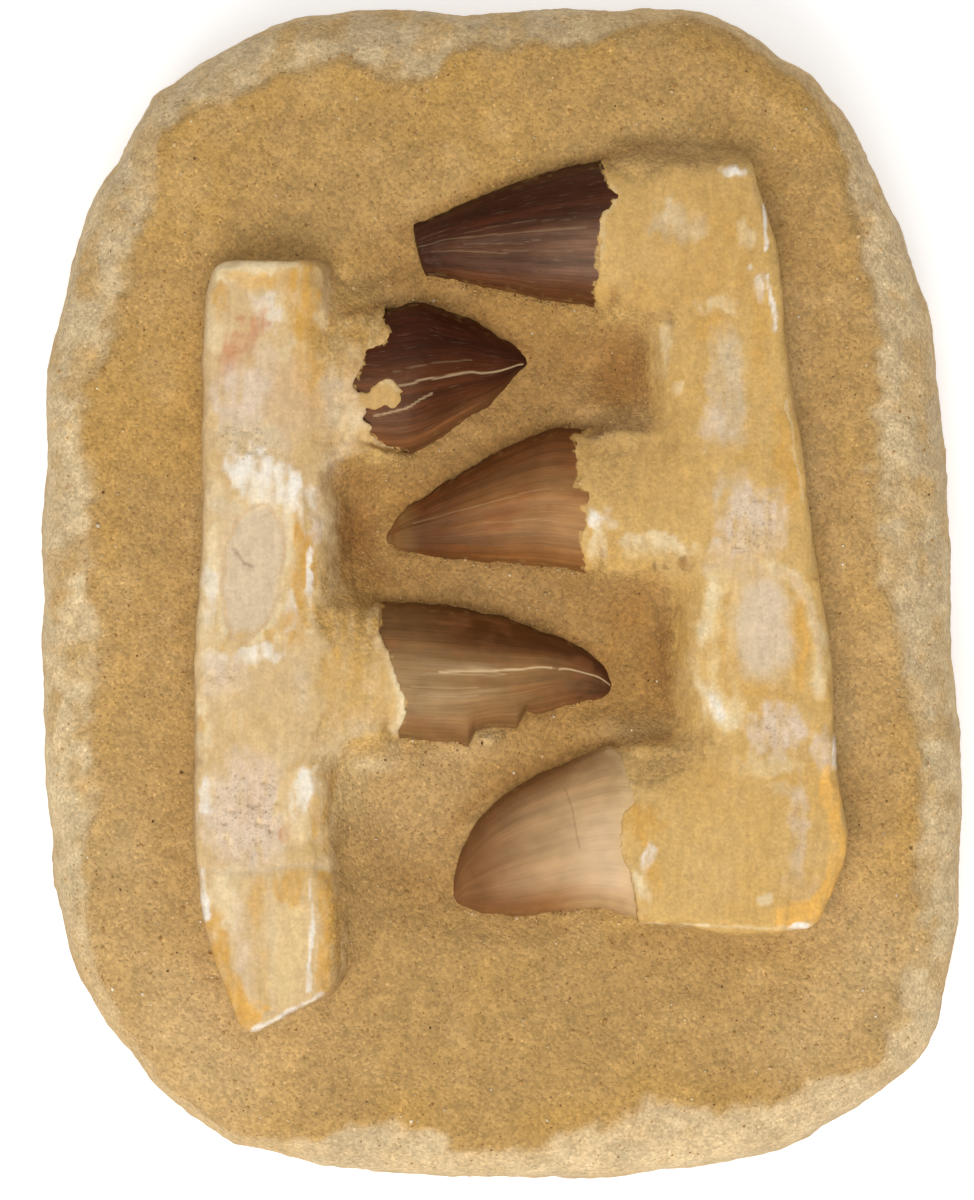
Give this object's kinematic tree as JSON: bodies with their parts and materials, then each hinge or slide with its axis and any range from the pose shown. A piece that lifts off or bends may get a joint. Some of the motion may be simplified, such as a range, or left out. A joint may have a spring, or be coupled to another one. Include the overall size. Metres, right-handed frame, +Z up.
{
  "type": "fossil mosasaur jaw",
  "caption": "Fossil mosasaur jaw on a sandstone matrix slab: parallel jaw bones lie half sunk in the sand with their curved, pointed tooth crowns reaching towards each other.",
  "frame": {"origin": "on the flat underside of the slab, under the middle of its outline", "axes": "+Y along the slab's length towards the end with the dark blunt tooth, +X towards the jaw bone with the greater number of teeth, +Z up out of the sand"},
  "size_m": [0.1754, 0.2228, 0.0414],
  "materials": {
    "matrix": "gritty phosphate sandstone",
    "bone_left": "worn fossil bone with pale patches",
    "bone_right": "worn ochre fossil bone",
    "enamel_dark": "dark brown fossil enamel, satin",
    "enamel_brown": "brown fossil enamel, satin",
    "enamel_grey": "grey-brown fossil enamel, satin",
    "enamel_pale": "pale tan fossil enamel, satin"
  },
  "bodies": {
    "root": {"matrix_slab": "matrix", "jaw_left": "bone_left", "jaw_right": "bone_right", "tooth_1": "enamel_dark", "tooth_2": "enamel_dark", "tooth_3": "enamel_brown", "tooth_4": "enamel_grey", "tooth_5": "enamel_pale"}
  },
  "joints": []
}
